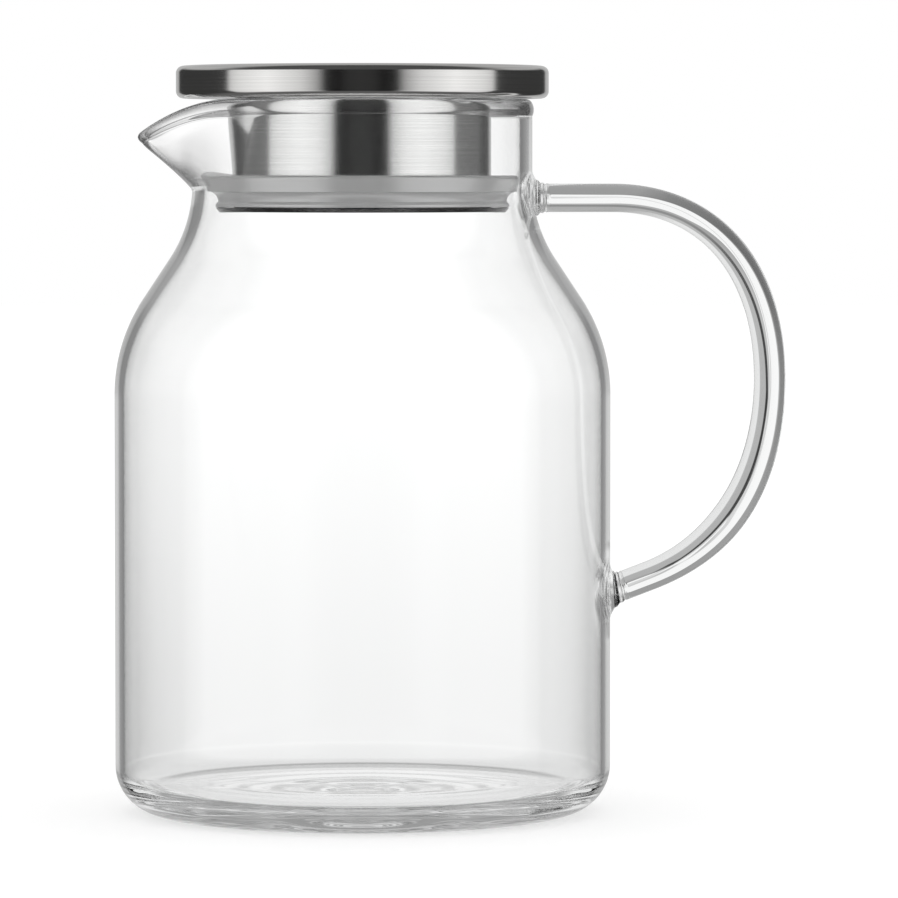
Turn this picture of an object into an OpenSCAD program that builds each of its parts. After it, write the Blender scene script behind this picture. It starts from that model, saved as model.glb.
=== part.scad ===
// Glass pitcher with a steel lid.
// A blown vessel with a pinched pouring lip and a drawn rod handle, and a hollow steel lid
// that stands in the neck on a sleeve with a silicone ring.
// Origin: centre of the base on the table. +Z up, spout towards -X, handle towards +X.

/* [Vessel] */
// Outer diameter of the straight body
body_d = 140; // [125:1:160]
// Wall thickness of the body
body_wall = 2.5; // [2:0.1:3.5]
// Thickness of the floor in the middle
floor_t = 6.0; // [3:0.1:8]
// How far the middle of the base is pushed up off the table
base_rise = 1.0; // [0.5:0.1:4]
// Radius of the outer corner between base and wall
base_corner = 13.5; // [10:0.5:20]
// Width of the flat ring that the base stands on
foot_ring_w = 6.5; // [3:0.5:12]
// Radius of the inner corner between floor and wall
floor_corner = 6; // [4:0.5:15]
// Height at which the shoulder leaves the straight wall
wall_top_z = 118.2; // [95:0.1:150]
// Radius of the shoulder's outward curve
shoulder_bend = 48.9; // [35:0.1:60]
// Radius of the inward curve where the shoulder meets the neck
neck_bend = 38.6; // [25:0.1:50]
// Steepest slope of the shoulder, in degrees from upright
shoulder_slope = 33.5; // [25:0.5:45]

/* [Neck and rim] */
// Outer diameter of the neck
neck_d = 95.8; // [85:0.1:105]
// Wall thickness of the neck
neck_wall = 3.4; // [2.5:0.1:4.5]
// Height of the straight neck, rim included
neck_h = 23.4; // [20:0.1:35]
// How far the melted rim bulges outside the neck
rim_bulge = 0.4; // [0:0.05:1]
// Height of the melted rim's rounding above and below its middle
rim_round = 2.9; // [1.5:0.1:4]

/* [Pouring lip] */
// How far the lip stands out beyond the neck
spout_reach = 17.6; // [8:0.1:22]
// Depth of the lip's foot below the rim
spout_depth = 25.7; // [22:0.1:32]
// How far the rim dips at the tip of the lip
spout_drop = 9.3; // [4:0.1:14]
// Half the sweep of the lip round the neck, in degrees
spout_half_angle = 46; // [32:1:60]
// Rounding of the lip's tip, in degrees round the neck
spout_tip_angle = 6; // [3:0.5:12]
// Level thickness of the drawn glass at the tip
spout_wall = 2.2; // [1.6:0.1:3]

/* [Handle] */
// Depth of the upper root's axis below the rim
handle_top_depth = 27.7; // [22:0.1:40]
// Height of the lower root's axis above the table
handle_low_z = 62.6; // [40:0.1:75]
// How far the rod's axis bows out from the body wall
handle_reach = 45; // [30:0.1:60]
// Length of the level stretch next to the upper root
handle_top_run = 22.7; // [10:0.1:30]
// Length of the straight stretch next to the lower root
handle_low_run = 11.6; // [9:0.1:18]
// Upward slope of the rod where it leaves the body, in degrees
handle_rise = 21; // [0:1:35]
// Rod diameter next to the upper root
handle_top_d = 8; // [6:0.1:10]
// Rod diameter at the far side
handle_far_d = 9; // [7:0.1:11]
// Rod diameter in the lower bend
handle_low_d = 9.6; // [7:0.1:12]
// Rod diameter next to the lower root
handle_end_d = 8.3; // [6:0.1:11]
// Radius of the flare where the rod is fused on
root_flare = 4; // [2:0.1:6]

/* [Lid] */
// How far the cap reaches out beyond the neck, all round
cap_overhang = 4.6; // [2.5:0.1:8]
// Height of the cap
cap_h = 9.1; // [6:0.1:14]
// Edge radius of the cap
cap_edge = 2; // [1:0.1:2.8]
// Thickness of the steel sheet
sheet_t = 0.8; // [0.5:0.1:1]
// Length of the sleeve below the cap
sleeve_drop = 30.8; // [26:0.1:40]
// Width of the sleeve's flange inside the cap
sleeve_flange = 4; // [2:0.1:6]
// How far the base plate reaches out beyond the ring's waist
base_plate_lap = 0.7; // [0.3:0.1:1.5]
// Thickness of the base plate
base_plate_t = 1.3; // [0.8:0.1:2.5]
// How far the base plate's edge tapers in
base_plate_taper = 1.1; // [0.3:0.1:1.5]
// Height of the locating ring on the base plate
locating_ring_h = 3; // [1.5:0.1:6]

/* [Silicone ring] */
// Height of the ring
ring_h = 9; // [7:0.1:12]
// Height of the ring's wide lip
ring_lip_h = 4.6; // [3:0.1:6]
// Radius of the lip's upper edge
ring_lip_round = 1; // [0.4:0.1:1.5]
// How far the lip's side narrows towards its lower edge
ring_lip_taper = 0.4; // [0:0.1:0.8]
// Width of the step from the lip in to the ring's waist
ring_lip_step = 3.3; // [2:0.1:5]
// Thickness of the ring's wall at the waist, between sleeve and vessel
ring_wall = 4.32; // [3:0.02:8]
// Height of the thin foot that lies on the base plate
ring_foot_h = 0.8; // [0.4:0.1:1.5]

/* [Clearances] */
// Gap between the neck's bore and the ring's lip
ring_gap = 0.5; // [0.3:0.05:1]
// Gap between the rim and the cap above it
cap_gap = 0.3; // [0.2:0.05:0.6]
// Radial running clearance of the sleeve in the ring
turn_fit = 0.08; // [0.05:0.01:0.1]
// Play between the ring and the base plate
ring_play = 0.1; // [0.05:0.05:0.3]
// Assembly clearance between welded steel pieces
weld_fit = 0.05; // [0.02:0.01:0.1]

/* [Hidden] */
$fn = 96;

body_r = body_d / 2;
neck_r = neck_d / 2;
bore_r = neck_r - neck_wall;

// The shoulder turns from the wall to its steepest slope, runs straight, and turns back upright.
neck_step = body_r - neck_r;
bends = shoulder_bend + neck_bend;
slope = min(shoulder_slope, acos(1 - neck_step / bends));
cone_len = (neck_step - bends * (1 - cos(slope))) / sin(slope);
shoulder_h = bends * sin(slope) + cone_len * cos(slope);
neck_z = wall_top_z + shoulder_h;
rim_z = neck_z + neck_h;

// The base stands on a ring round its pushed-up middle.
base_rise_r = body_r - base_corner - foot_ring_w;
floor_z = base_rise + floor_t;

// Lengths along the shoulder, over which the wall thickens towards the neck
shoulder_len = shoulder_bend * slope * PI / 180;
neck_len = neck_bend * slope * PI / 180;
curve_len = shoulder_len + cone_len + neck_len;
wall_growth_share = 0.9;
bend_steps = 12;
corner_steps = 10;
base_steps = 10;

// Rim ellipse: its inner side lies on the bore, its outer side bulges past the neck.
rim_half = (neck_wall + rim_bulge) / 2;
rim_mid_r = bore_r + rim_half;
rim_mid_z = rim_z - rim_round;
rim_start = acos((neck_r - rim_mid_r) / rim_half);
rim_steps = 12;

// The pinched lip is a sector of the neck that is carried outwards and down.
spout_z = rim_z - spout_depth;
spout_spread = sqrt(pow(spout_half_angle, 2) + pow(spout_tip_angle, 2)) - spout_tip_angle;
spout_power = 2.2;
// The lip leans out evenly over this share of its height, and eases upright above it.
spout_ease = 0.7;
spout_rise_power = 1.15;
spout_drop_power = 1.3;
spout_steps = 32;
spout_wall_steps = 8;
// The lip's lowest edges start this far inside the faces of the neck.
foot_step = 0.05;
overrun = 5;

// Handle path in the XZ plane: straight out of the neck, two cubic curves that meet at the far
// side, and straight into the body. A pull is how far a curve's control point lies along its way.
handle_top_z = rim_z - handle_top_depth;
handle_far_x = body_r + handle_reach;
handle_far_share = 0.54;
handle_far_z = handle_low_z + (handle_top_z - handle_low_z) * handle_far_share;
top_pull_share = 0.6;
far_up_share = 0.63;
far_down_share = 0.36;
low_pull_share = 0.63;
low_bend_share = 0.6;
root_steps = 9;
root_crowding = 1.6;
curve_steps = 14;
handle_sides = 20;

// Lid and ring: every radius follows the neck, from its bore inwards and from its outside outwards
ring_lip_r = bore_r - ring_gap;
ring_waist_r = ring_lip_r - ring_lip_step;
ring_bore_r = ring_waist_r - ring_wall;
sleeve_r = ring_bore_r - turn_fit;
sleeve_bore_r = sleeve_r - sheet_t;
base_plate_r = ring_waist_r + base_plate_lap;
cap_r = neck_r + cap_overhang;
cap_z = rim_z + cap_gap;
base_plate_top = cap_z - sleeve_drop;
ring_z = base_plate_top + ring_play;

function blend(a, b, t) = a + (b - a) * t;
function arc(c, r, from, to, steps) =
    [for (i = [0:steps]) let (a = blend(from, to, i / steps)) c + r * [cos(a), sin(a)]];
function backwards(list) = [for (i = [len(list) - 1:-1:0]) list[i]];

// Vessel profile

function wall_at(s) = blend(body_wall, neck_wall, min(1, s / (wall_growth_share * curve_len)));

// One side of the shoulder from the straight wall to the neck: depth 0 is outside, 1 inside
function shoulder_side(depth) = concat(
    [for (i = [0:bend_steps])
        let (t = i / bend_steps, a = slope * t,
             r = shoulder_bend - depth * wall_at(shoulder_len * t))
        [body_r - shoulder_bend + r * cos(a), wall_top_z + r * sin(a)]],
    [for (i = [0:bend_steps])
        let (t = i / bend_steps, a = slope * (1 - t),
             r = neck_bend + depth * wall_at(curve_len - neck_len * (1 - t)))
        [neck_r + neck_bend - r * cos(a), neck_z - r * sin(a)]]);

// Height of the pushed-up underside at a share of the way out from the middle
function base_lift(t) = base_rise * (1 + cos(180 * t)) / 2;

function outside_profile() = concat(
    [for (i = [0:base_steps]) [base_rise_r * i / base_steps, base_lift(i / base_steps)]],
    arc([body_r - base_corner, base_corner], base_corner, -90, 0, corner_steps),
    shoulder_side(0));

function inside_profile() = concat(
    [[0, floor_z]],
    arc([body_r - body_wall - floor_corner, floor_z + floor_corner], floor_corner, -90, 0,
        corner_steps),
    shoulder_side(1));

// Rim bead from the neck's outside over the top to the bore
function rim_bead() =
    [for (i = [0:rim_steps])
        let (a = blend(-rim_start, 180, i / rim_steps))
        [rim_mid_r + rim_half * cos(a), rim_mid_z + rim_round * sin(a)]];

module vessel_shell() {
    rotate_extrude()
        polygon(concat(outside_profile(), rim_bead(), backwards(inside_profile())));
}

module vessel_outside() {
    rotate_extrude()
        polygon(concat(outside_profile(), [[neck_r, rim_z], [0, rim_z]]));
}

// Pouring lip

// Share of the full lip at an angle off its tip: 1 at the tip, easing to 0 at both sides
function lip_share(a) =
    pow(max(0, 1 - (sqrt(a * a + pow(spout_tip_angle, 2)) - spout_tip_angle) / spout_spread),
        spout_power);

// Share of the lip's reach at a share of its height
function lip_rise(up) = let (over = up - spout_ease)
    over < 0 ? spout_ease * pow(up / spout_ease, spout_rise_power)
        : spout_ease + spout_rise_power * (over - over * over / (2 * (1 - spout_ease)));

// Radius of the neck's outside and bore at a height, through the end of the inward curve
function neck_outside(z) =
    z >= neck_z ? neck_r : neck_r + neck_bend - sqrt(pow(neck_bend, 2) - pow(neck_z - z, 2));
function neck_inside(z) =
    z >= neck_z ? bore_r
        : neck_r + neck_bend - sqrt(pow(neck_bend + neck_wall, 2) - pow(neck_z - z, 2));

// Section of the neck wall and rim from the lip's foot up
function neck_section() = let (
    bead_z = rim_mid_z - rim_round * sin(rim_start),
    outer = [for (i = [0:spout_wall_steps - 1])
        let (z = blend(spout_z, bead_z, i / spout_wall_steps))
        [neck_outside(z) - (i == 0 ? foot_step : 0), z]],
    inner = [for (i = [spout_wall_steps - 1:-1:0])
        let (z = blend(spout_z, rim_mid_z, i / spout_wall_steps))
        [neck_inside(z) + (i == 0 ? foot_step : 0), z]])
    concat(outer, rim_bead(), inner);

// Carries a section point round to an angle off the lip's tip, outwards and down
function lip_point(p, a) = let (
    share = lip_share(a),
    up = (p[1] - spout_z) / spout_depth,
    depth = min(1, max(0, (neck_outside(p[1]) - p[0]) / neck_wall)),
    push = (spout_reach + depth * (neck_wall - spout_wall)) * share * lip_rise(up),
    drop = spout_drop * pow(share, spout_drop_power) * up,
    r = p[0] + push)
    [-r * cos(a), r * sin(a), p[1] - drop];

module pouring_lip() {
    section = neck_section();
    count = len(section);
    points = [for (i = [0:spout_steps])
        let (a = blend(-spout_half_angle, spout_half_angle, i / spout_steps))
        for (p = section) lip_point(p, a)];
    sides = [for (i = [0:spout_steps - 1]) for (j = [0:count - 1])
        let (k = (j + 1) % count, here = i * count, next = (i + 1) * count)
        each [[here + j, next + j, next + k], [here + j, next + k, here + k]]];
    ends = [[for (j = [0:count - 1]) j],
            [for (j = [count - 1:-1:0]) spout_steps * count + j]];
    polyhedron(points = points, faces = concat(sides, ends), convexity = 6);
}

// The stretch of neck that the lip takes the place of
module lip_sector() {
    a = spout_half_angle;
    side = body_d * [-cos(a), sin(a)];
    translate([0, 0, spout_z])
        linear_extrude(height = spout_depth + overrun)
            polygon([[0, 0], side, [-body_d, side[1]], [-body_d, -side[1]], [side[0], -side[1]]]);
}

module glass_body() {
    color([0.86, 0.93, 0.95, 0.35]) {
        difference() {
            vessel_shell();
            lip_sector();
        }
        pouring_lip();
    }
}

// Handle

handle_top = [neck_r, handle_top_z];
handle_far = [handle_far_x, handle_far_z];
handle_end = [body_r, handle_low_z];
low_way = [cos(handle_rise), sin(handle_rise)];
upper_start = handle_top + [handle_top_run, 0];
lower_stop = handle_end + handle_low_run * low_way;
upper_curve = [upper_start,
               upper_start + [(handle_far_x - upper_start[0]) * top_pull_share, 0],
               handle_far + [0, (handle_top_z - handle_far_z) * far_up_share],
               handle_far];
lower_curve = [handle_far,
               handle_far - [0, (handle_far_z - handle_low_z) * far_down_share],
               lower_stop + handle_reach * low_pull_share * low_way,
               lower_stop];

function bezier(c, t) = pow(1 - t, 3) * c[0] + 3 * t * pow(1 - t, 2) * c[1]
    + 3 * t * t * (1 - t) * c[2] + pow(t, 3) * c[3];
function bezier_way(c, t) = let (v = pow(1 - t, 2) * (c[1] - c[0])
    + 2 * t * (1 - t) * (c[2] - c[1]) + t * t * (c[3] - c[2])) v / norm(v);
function smooth(t) = t * t * (3 - 2 * t);

// Rod diameter along the lower curve: thickest in the bend
function low_d(t) = t < low_bend_share
    ? blend(handle_far_d, handle_low_d, smooth(t / low_bend_share))
    : blend(handle_low_d, handle_end_d, smooth((t - low_bend_share) / (1 - low_bend_share)));

// Distance from the glass of a ring in a root, closer together next to the wall
function root_gap(i) = 2 * root_flare * pow(i / root_steps, root_crowding);

// Extra radius of the fused root at a distance from the glass
function flare(gap) =
    gap >= root_flare ? 0 : root_flare - sqrt(pow(root_flare, 2) - pow(root_flare - gap, 2));

// One ring of the rod. Upright 1 turns the section to the upright wall, 0 leaves it square to
// the rod's way.
function rod_ring(p, way, d, gap, upright) = let (
    r = d / 2 + flare(gap),
    n = blend([way[1], -way[0]], [0, 1], upright),
    side = n / norm(n))
    [for (j = [0:handle_sides - 1])
        let (b = 360 * j / handle_sides)
        [p[0] + r * cos(b) * side[0], r * sin(b), p[1] + r * cos(b) * side[1]]];

function upper_root_rings() = [for (i = [0:root_steps])
    let (gap = root_gap(i))
    rod_ring(handle_top + [gap, 0], [1, 0], handle_top_d, gap, 0)];
function upper_curve_rings() = [for (i = [0:curve_steps])
    let (t = i / curve_steps)
    rod_ring(bezier(upper_curve, t), bezier_way(upper_curve, t),
             blend(handle_top_d, handle_far_d, smooth(t)), root_flare, 0)];
function lower_curve_rings() = [for (i = [1:curve_steps])
    let (t = i / curve_steps)
    rod_ring(bezier(lower_curve, t), bezier_way(lower_curve, t), low_d(t), root_flare, 0)];
function lower_root_rings() = [for (i = [root_steps:-1:0])
    let (gap = root_gap(i))
    rod_ring(handle_end + gap * low_way, -low_way, handle_end_d, gap,
             1 - smooth(i / root_steps))];

// The rod runs on into the wall at both roots, where the vessel's outside trims it.
module handle_rod() {
    rings = concat(upper_root_rings(), upper_curve_rings(), lower_curve_rings(),
                   lower_root_rings());
    inside = [-neck_wall, 0, 0];
    all_rings = concat([[for (p = rings[0]) p + inside]], rings,
                       [[for (p = rings[len(rings) - 1]) p + inside]]);
    last = len(all_rings) - 1;
    n = handle_sides;
    points = [for (ring = all_rings) each ring];
    sides = [for (i = [0:last - 1]) for (j = [0:n - 1])
        let (k = (j + 1) % n, here = i * n, next = (i + 1) * n)
        each [[here + j, here + k, next + k], [here + j, next + k, next + j]]];
    ends = [[for (j = [n - 1:-1:0]) j], [for (j = [0:n - 1]) last * n + j]];
    polyhedron(points = points, faces = concat(sides, ends), convexity = 4);
}

module glass_handle() {
    color([0.80, 0.89, 0.92, 0.45])
        difference() {
            handle_rod();
            vessel_outside();
        }
}

// Lid

// Half section of the pressed cap: a disc whose side turns down and in under itself
module lid_cap() {
    top = cap_z + cap_h;
    in_edge = cap_edge - sheet_t;
    color([0.72, 0.73, 0.74])
        rotate_extrude()
            polygon(concat(
                [[0, top]],
                arc([cap_r - cap_edge, top - cap_edge], cap_edge, 90, 0, corner_steps),
                arc([cap_r - cap_edge, cap_z + cap_edge], cap_edge, 0, -90, corner_steps),
                arc([cap_r - cap_edge, cap_z + cap_edge], in_edge, -90, 0, corner_steps),
                arc([cap_r - cap_edge, top - cap_edge], in_edge, 0, 90, corner_steps),
                [[0, top - sheet_t]]));
}

// Ring-shaped plate that closes the cap from below, welded flush inside its turned-in edge
module lid_underplate() {
    color([0.66, 0.67, 0.68])
        translate([0, 0, cap_z])
            difference() {
                cylinder(r = cap_r - cap_edge - weld_fit, h = sheet_t);
                translate([0, 0, -overrun])
                    cylinder(r = sleeve_r + weld_fit, h = sheet_t + 2 * overrun);
            }
}

// Brushed tube that hangs from its flange on the underplate
module lid_sleeve() {
    color([0.75, 0.76, 0.77])
        rotate_extrude()
            polygon([[sleeve_bore_r, base_plate_top],
                     [sleeve_r, base_plate_top],
                     [sleeve_r, cap_z + sheet_t],
                     [sleeve_r + sleeve_flange, cap_z + sheet_t],
                     [sleeve_r + sleeve_flange, cap_z + 2 * sheet_t],
                     [sleeve_bore_r, cap_z + 2 * sheet_t]]);
}

// Plate that closes the sleeve and carries the silicone ring, with a ring that centres it
module lid_base_plate() {
    ring_r = sleeve_bore_r - weld_fit;
    color([0.62, 0.63, 0.64])
        rotate_extrude()
            polygon([[0, base_plate_top - base_plate_t],
                     [base_plate_r - base_plate_taper, base_plate_top - base_plate_t],
                     [base_plate_r, base_plate_top],
                     [ring_r, base_plate_top],
                     [ring_r, base_plate_top + locating_ring_h],
                     [ring_r - sheet_t, base_plate_top + locating_ring_h],
                     [ring_r - sheet_t, base_plate_top],
                     [0, base_plate_top]]);
}

// Silicone ring: a wide lip that meets the neck, over a waist and a thin foot
module seal_ring() {
    top = ring_z + ring_h;
    lip_z = top - ring_lip_h;
    lip_low_r = ring_lip_r - ring_lip_taper;
    foot_top = ring_z + 2 * ring_foot_h;
    bend = min(lip_low_r - ring_waist_r, lip_z - foot_top);
    color([0.62, 0.64, 0.66, 0.8])
        rotate_extrude()
            polygon(concat(
                [[ring_bore_r, ring_z],
                 [base_plate_r, ring_z],
                 [base_plate_r, ring_z + ring_foot_h],
                 [ring_waist_r, foot_top]],
                arc([ring_waist_r + bend, lip_z - bend], bend, 180, 90, corner_steps),
                [[lip_low_r, lip_z]],
                arc([ring_lip_r - ring_lip_round, top - ring_lip_round], ring_lip_round, 0, 90,
                    corner_steps),
                [[ring_bore_r, top]]));
}

glass_body();
glass_handle();
lid_cap();
lid_underplate();
lid_sleeve();
lid_base_plate();
seal_ring();
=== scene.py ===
"""Glass pitcher with a steel lid: the looks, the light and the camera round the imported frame."""
import math

import bmesh
import bpy
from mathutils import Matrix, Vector

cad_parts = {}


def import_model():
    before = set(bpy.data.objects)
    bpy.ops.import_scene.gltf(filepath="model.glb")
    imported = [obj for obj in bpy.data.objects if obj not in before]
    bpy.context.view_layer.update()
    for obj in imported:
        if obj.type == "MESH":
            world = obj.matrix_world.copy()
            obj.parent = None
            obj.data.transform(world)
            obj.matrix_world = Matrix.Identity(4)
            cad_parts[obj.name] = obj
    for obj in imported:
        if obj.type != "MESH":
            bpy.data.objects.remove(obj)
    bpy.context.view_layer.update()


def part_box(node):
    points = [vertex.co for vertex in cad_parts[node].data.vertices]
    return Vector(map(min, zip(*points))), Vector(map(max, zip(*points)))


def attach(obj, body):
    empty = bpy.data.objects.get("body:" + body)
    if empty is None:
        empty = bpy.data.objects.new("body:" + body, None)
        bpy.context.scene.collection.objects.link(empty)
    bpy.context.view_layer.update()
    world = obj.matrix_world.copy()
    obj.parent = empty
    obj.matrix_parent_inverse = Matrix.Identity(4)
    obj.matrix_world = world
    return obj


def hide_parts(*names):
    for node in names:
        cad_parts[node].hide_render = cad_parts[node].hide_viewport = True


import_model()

MM = 0.001
ON_AXIS = 1e-6
# Ranges of the angles that a brightness can hang on, in degrees: height, way round either side
# and full turn
HEIGHT = (-90, 90)
AROUND = (0, 180)
TURN = (-180, 180)
# Slots of the glass's materials
OUTER, INNER, ROD, RIM, LIP = 0, 1, 2, 3, 4
# Lathed steel and silicone show an edge where they bend by more than this
SHARP = math.radians(28)


def reach(node):
    """Largest radius of a round node about the vertical axis, in millimetres."""
    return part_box(node)[1].y / MM


def bottom(node):
    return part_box(node)[0].z / MM


def top(node):
    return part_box(node)[1].z / MM


# Vessel, in millimetres as in the part's source
BODY_R = reach("glass_body")
RIM_Z = top("glass_body")
BODY_WALL = 2.5
FLOOR_T = 6.0
BASE_RISE = 1.0
BASE_RISE_R = 50.0
BASE_CORNER = 13.5
FLOOR_CORNER = 6.0
FLOOR_DOME_H = 0.3
FLOOR_DOME_R = 40.0
FLOOR_RIPPLE_H = 0.2
FLOOR_RIPPLE_R = 66.0
FLOOR_RIPPLE_STEP = 11.5
WALL_TOP_Z = 118.2
SHOULDER_BEND = 48.9
NECK_BEND = 38.6
SHOULDER_SLOPE = math.radians(33.5)
NECK_R = 47.9
NECK_WALL = 3.4
NECK_H = 23.4
RIM_BULGE = 0.4
RIM_ROUND = 2.9
WALL_GROWTH = 0.9

# Pouring lip
SPOUT_REACH = 17.6
SPOUT_DEPTH = 25.7
SPOUT_DROP = 9.3
SPOUT_HALF_ANGLE = 46.0
SPOUT_TIP_ANGLE = 6.0
SPOUT_WALL = 2.2
SPOUT_POWER = 2.2
SPOUT_RISE_POWER = 1.15
SPOUT_EASE = 0.7
SPOUT_DROP_POWER = 1.3
# The lip's glass with painted edge shade starts this far above its root and inside its sides, in mm and
# degrees
LIP_SHADE_UP = 1.0
LIP_SHADE_IN = 4.0

# Handle
HANDLE_TOP_DEPTH = 27.7
HANDLE_LOW_Z = 62.6
HANDLE_REACH = 45.0
HANDLE_TOP_RUN = 22.7
HANDLE_LOW_RUN = 11.6
HANDLE_RISE = math.radians(21)
HANDLE_TOP_D = 8.0
HANDLE_FAR_D = 9.0
HANDLE_LOW_D = 9.6
HANDLE_END_D = 8.3
ROOT_FLARE = 4.0
FAR_SHARE = 0.54
TOP_PULL_SHARE = 0.6
FAR_UP_SHARE = 0.63
FAR_DOWN_SHARE = 0.36
LOW_PULL_SHARE = 0.63
LOW_BEND_SHARE = 0.6
ROOT_CROWDING = 1.6
ROOT_SINK = 1.2
FLARE_START = 0.15
RIPPLE_H = 0.16
RIPPLE_STEP = 1.3
RIPPLE_FADE = 2.6

# Lid and silicone ring
SHEET = 0.8
WELD_GAP = 0.05
CAP_EDGE = 2.0
SLEEVE_R = 36.3
SOFT_EDGE = 0.25
FINE_EDGE = 0.2
PLATE_TAPER = 1.1
PLATE_LOW_EDGE = 0.3
PLATE_TOP_EDGE = 0.12
PLATE_DARK_EDGE = 2.0
NEAR_AXIS = 0.01
SEAL_BORE_R = 36.38
SEAL_FOOT_R = 41.4
SEAL_WAIST_R = 40.7
SEAL_LIP_H = 4.6
SEAL_FOOT_H = 0.8
SEAL_TAPER = 0.4
SEAL_FOOT_EDGE = 0.2
SEAL_LIP_EDGE = 0.15
SEAL_TOP_EDGE = 1

# Steps of the sections: vessel, cap and silicone ring
UNDERSIDE_STEPS = 40
STAND_STEPS = 4
CORNER_STEPS = 28
WALL_STEPS = 42
NECK_STEPS = 22
RIM_STEPS = 30
FLOOR_STEPS = 64
FLOOR_CORNER_STEPS = 26
CAP_TOP_STEPS = 12
CAP_EDGE_STEPS = 14
CAP_SIDE_STEPS = 6
CAP_FOLD_STEPS = 8
CAP_INSIDE_STEPS = 2
CAP_UNDER_STEPS = 4
SEAL_FOOT_STEPS = 2
SEAL_EDGE_STEPS = 4
SEAL_WAIST_STEPS = 16
SEAL_TOP_EDGE_STEPS = 10
SEAL_TOP_STEPS = 3

# Sizes that follow from these
BORE_R = NECK_R - NECK_WALL
NECK_Z = RIM_Z - NECK_H
SPOUT_Z = RIM_Z - SPOUT_DEPTH
FLOOR_Z = FLOOR_T + BASE_RISE
CONE_LEN = ((BODY_R - NECK_R - (SHOULDER_BEND + NECK_BEND) * (1 - math.cos(SHOULDER_SLOPE)))
            / math.sin(SHOULDER_SLOPE))
SHOULDER_LEN = SHOULDER_BEND * SHOULDER_SLOPE
NECK_LEN = NECK_BEND * SHOULDER_SLOPE
CURVE_LEN = SHOULDER_LEN + CONE_LEN + NECK_LEN
RIM_HALF = (NECK_WALL + RIM_BULGE) / 2
RIM_MID_R = BORE_R + RIM_HALF
RIM_MID_Z = RIM_Z - RIM_ROUND
SPOUT_SPREAD = math.hypot(SPOUT_HALF_ANGLE, SPOUT_TIP_ANGLE) - SPOUT_TIP_ANGLE
HANDLE_TOP_Z = RIM_Z - HANDLE_TOP_DEPTH
FLARE_START_SLOPE = ((ROOT_FLARE - FLARE_START)
                     / math.sqrt(ROOT_FLARE ** 2 - (ROOT_FLARE - FLARE_START) ** 2))
# Height on the vessel, depth and radius of the swelling that fusing a root left inside
ROOT_SWELLS = [(HANDLE_LOW_Z, 1.6, 6.5), (HANDLE_TOP_Z - 4, 0.35, 6.0)]


def mix(a, b, t):
    return a + (b - a) * t


def smooth(t):
    t = min(1.0, max(0.0, t))
    return t * t * (3 - 2 * t)


def arc(c, r, start, stop, steps):
    """Points on an arc about c, angles in degrees, both ends included."""
    angles = [math.radians(mix(start, stop, i / steps)) for i in range(steps + 1)]
    return [(c[0] + r * math.cos(a), c[1] + r * math.sin(a)) for a in angles]


def run(a, b, steps):
    """Points on a straight line after a up to b."""
    return [(mix(a[0], b[0], i / steps), mix(a[1], b[1], i / steps)) for i in range(1, steps + 1)]


def make_object(name, verts, faces, slots, face_slots=None, crease=None):
    """A smooth-shaded mesh object, sharp where it bends by more than crease. verts are in
    millimetres."""
    mesh = bpy.data.meshes.new(name)
    mesh.from_pydata([(x * MM, y * MM, z * MM) for x, y, z in verts], [], faces)
    for slot in slots:
        mesh.materials.append(slot)
    if face_slots:
        mesh.polygons.foreach_set("material_index", face_slots)
    mesh.polygons.foreach_set("use_smooth", [True] * len(faces))
    mesh.update()
    if crease:
        mesh.set_sharp_from_angle(angle=crease)
    obj = bpy.data.objects.new(name, mesh)
    bpy.context.scene.collection.objects.link(obj)
    return obj


def revolve(profile, columns, shape=None):
    """Vertices and quads of a closed surface of revolution. profile runs round the section so
    that the solid lies on its left. Points on the axis become poles. shape, if given, moves a
    point: shape(r, z, angle, row) -> (x, y, z)."""
    verts, rows, faces, owner = [], [], [], []
    for i, (r, z) in enumerate(profile):
        if r < ON_AXIS:
            rows.append([len(verts)] * columns)
            verts.append((0.0, 0.0, z))
            continue
        rows.append(list(range(len(verts), len(verts) + columns)))
        for j in range(columns):
            a = 2 * math.pi * j / columns
            verts.append(shape(r, z, a, i) if shape
                         else (r * math.cos(a), r * math.sin(a), z))
    closed = profile[0][0] > ON_AXIS
    count = len(rows)
    for i in range(count if closed else count - 1):
        low, high = rows[i], rows[(i + 1) % count]
        for j in range(columns):
            k = (j + 1) % columns
            quad = [low[j], low[k], high[k], high[j]]
            face = [v for n, v in enumerate(quad) if v != quad[n - 1]]
            if len(face) > 2:
                faces.append(face)
                owner.append(i)
    return verts, faces, owner


# Vessel glass


def wall_at(s):
    """Thickness of the wall at a length along the shoulder."""
    return mix(BODY_WALL, NECK_WALL, min(1.0, s / (WALL_GROWTH * CURVE_LEN)))


def shoulder_side(depth, bend_steps=26, cone_steps=6):
    """Outside (depth 0) or inside (depth 1) of the shoulder, from the wall up to the neck."""
    points = []
    for i in range(bend_steps + 1):
        t = i / bend_steps
        a, r = SHOULDER_SLOPE * t, SHOULDER_BEND - depth * wall_at(SHOULDER_LEN * t)
        points.append((BODY_R - SHOULDER_BEND + r * math.cos(a), WALL_TOP_Z + r * math.sin(a)))
    upper = []
    for i in range(bend_steps + 1):
        t = i / bend_steps
        a, r = SHOULDER_SLOPE * (1 - t), NECK_BEND + depth * wall_at(CURVE_LEN - NECK_LEN * (1 - t))
        upper.append((NECK_R + NECK_BEND - r * math.cos(a), NECK_Z - r * math.sin(a)))
    return points + run(points[-1], upper[0], cone_steps)[:-1] + upper


def base_rise(r):
    """Height of the pushed-up underside at a radius."""
    return BASE_RISE * (1 + math.cos(math.pi * r / BASE_RISE_R)) / 2


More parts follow.
